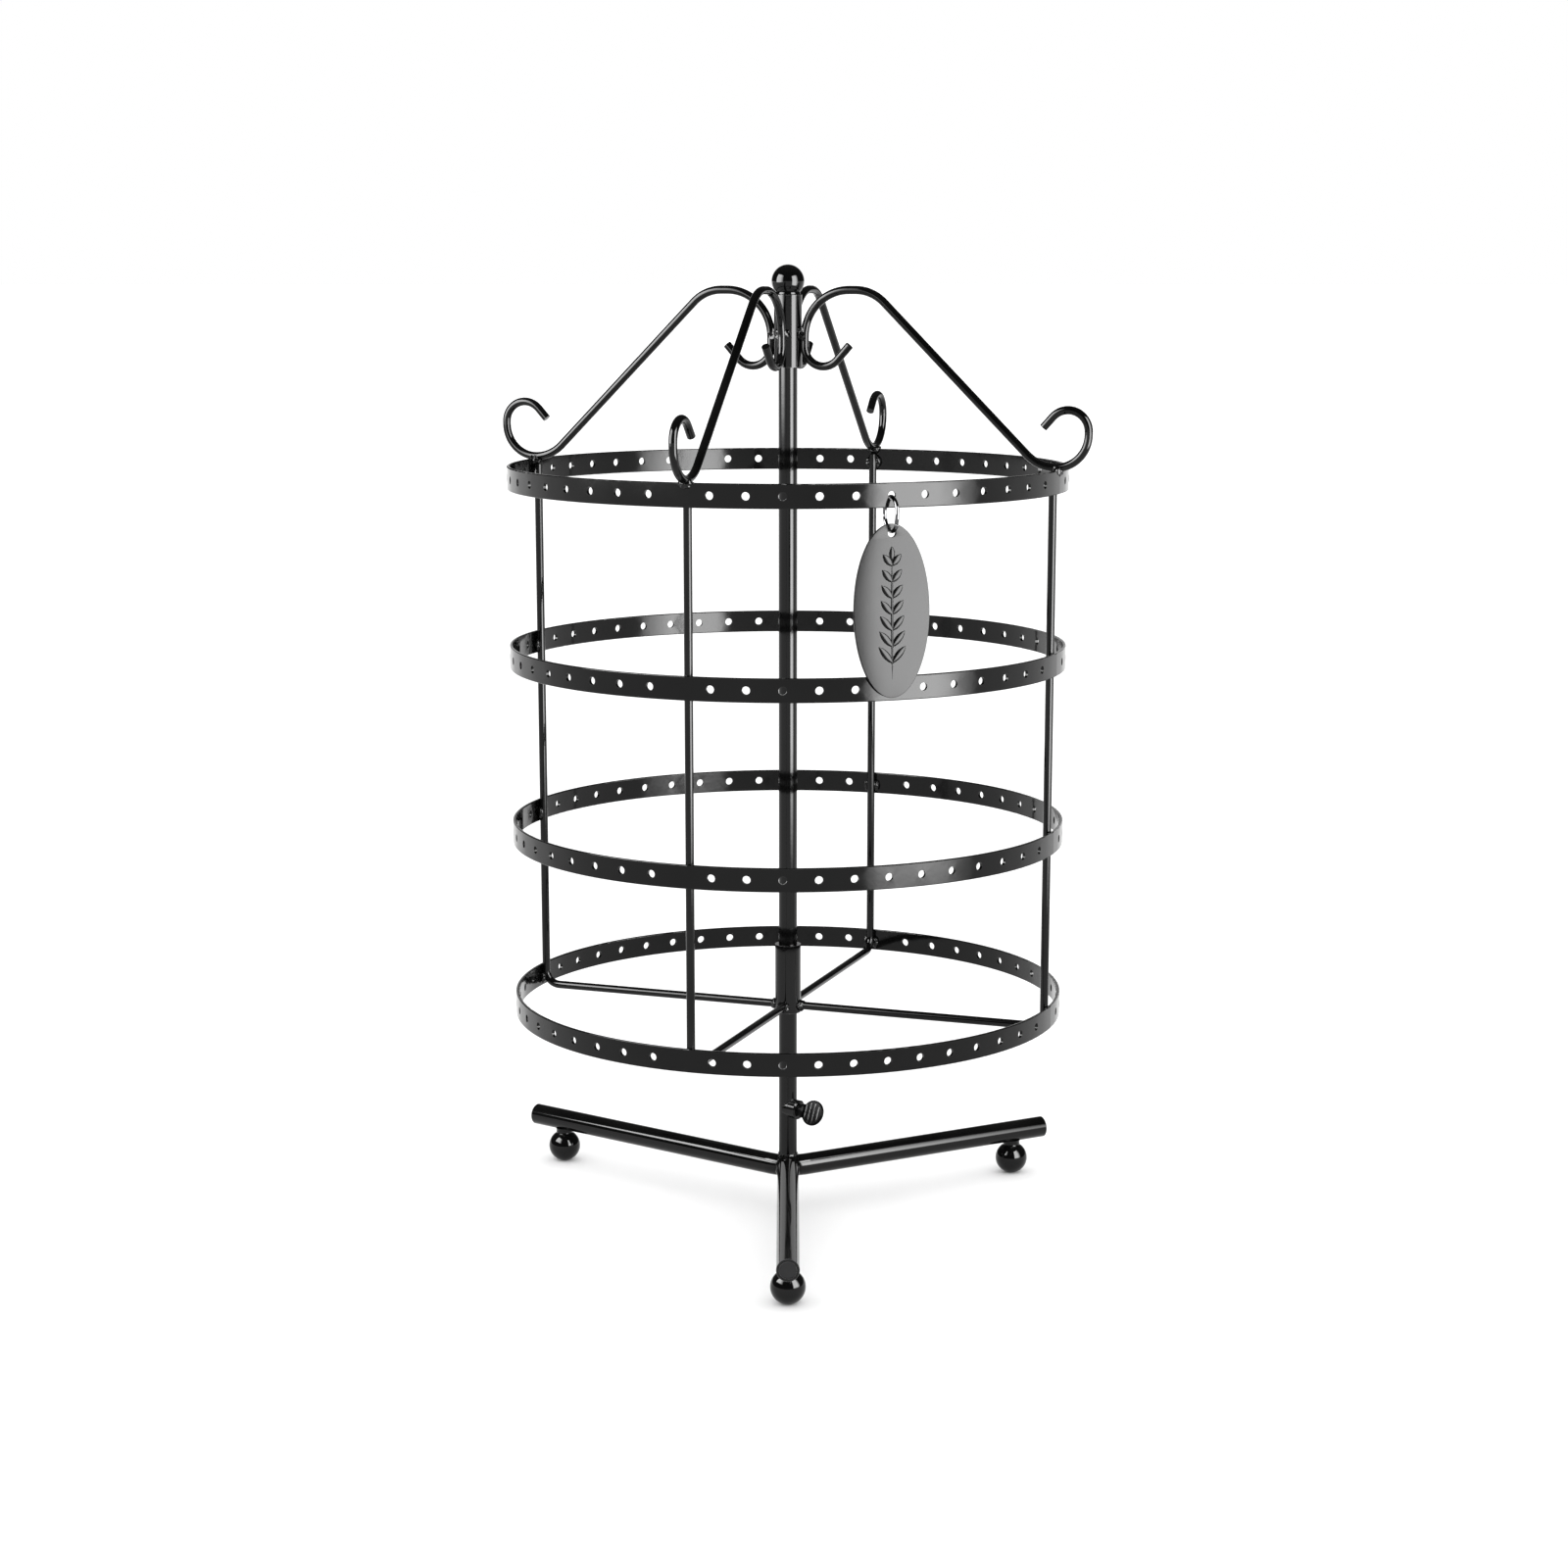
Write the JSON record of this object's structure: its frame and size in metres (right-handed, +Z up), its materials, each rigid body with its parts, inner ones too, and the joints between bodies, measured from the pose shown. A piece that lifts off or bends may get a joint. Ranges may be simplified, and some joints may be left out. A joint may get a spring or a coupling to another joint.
{
  "type": "rotating display rack",
  "caption": "Counter-top rotating rack: tripod base, lift-off pole with clamp screw, and a spinning wire cage of perforated bands with scroll arms for earrings and chains.",
  "frame": {"origin": "on the pole's axis at table level, where the feet rest", "axes": "+Z up along the pole, which is also the axis that the cage turns about; the single front leg points toward -Y and +X is to the right"},
  "size_m": [0.1994, 0.2137, 0.3291],
  "materials": {
    "black_enamel": "gloss",
    "black_plastic": "satin",
    "nylon": "satin",
    "bright_steel": "drawn",
    "chrome_wire": "polished",
    "tag_face": "gloss"
  },
  "bodies": {
    "base": {"rear_leg_tube": "black_enamel", "front_leg_tube": "black_enamel", "leg_end_plugs": "black_plastic", "foot_balls": "black_enamel", "foot_studs": "bright_steel", "spigot_rod": "bright_steel", "pole_seat_weld": "black_enamel", "leg_weld": "black_enamel"},
    "pole": {"pole_tube": "black_enamel", "screw_boss": "black_enamel", "pivot_plug": "nylon"},
    "thumb_screw": {"thumb_screw": "black_enamel"},
    "cage": {"band_1": "black_enamel", "band_2": "black_enamel", "band_3": "black_enamel", "band_4": "black_enamel", "band_1_welds": "black_enamel", "band_2_welds": "black_enamel", "band_3_welds": "black_enamel", "band_4_welds": "black_enamel", "upright_a": "black_enamel", "upright_b": "black_enamel", "upright_c": "black_enamel", "upright_d": "black_enamel", "scroll_arm_a": "black_enamel", "scroll_arm_b": "black_enamel", "scroll_arm_c": "black_enamel", "scroll_arm_d": "black_enamel", "arm_heel_welds": "black_enamel", "arm_sleeve_welds": "black_enamel", "spoke_welds": "black_enamel", "top_sleeve": "black_enamel", "bottom_sleeve": "black_enamel", "sleeve_cap": "black_enamel", "finial_stud": "bright_steel", "finial_ball": "black_enamel"},
    "jump_ring": {"jump_ring": "chrome_wire"},
    "tag": {"tag_plate": "tag_face"}
  },
  "joints": [
    {"name": "pole_lift", "type": "slide", "parent": "base", "child": "pole", "axis": [0, 0, 1], "range_m": [0, 0.03]},
    {"name": "screw_turn", "type": "hinge", "parent": "pole", "child": "thumb_screw", "pos_m": [0, 0, 0.03665], "axis": [0.766, -0.6428, 0], "range_deg": [-630, 0]},
    {"name": "cage_spin", "type": "hinge", "parent": "pole", "child": "cage", "pos_m": [0, 0, 0.2627], "axis": [0, 0, 1], "continuous": true},
    {"name": "ring_swing", "type": "hinge", "parent": "cage", "child": "jump_ring", "pos_m": [0.03207, -0.08884, 0.25879], "axis": [0.3396, -0.9406, 0], "range_deg": [-40, 40]},
    {"name": "tag_swing", "type": "hinge", "parent": "jump_ring", "child": "tag", "pos_m": [0.03207, -0.08884, 0.25294], "axis": [-0.9406, -0.3396, 0], "range_deg": [0, 85]}
  ]
}
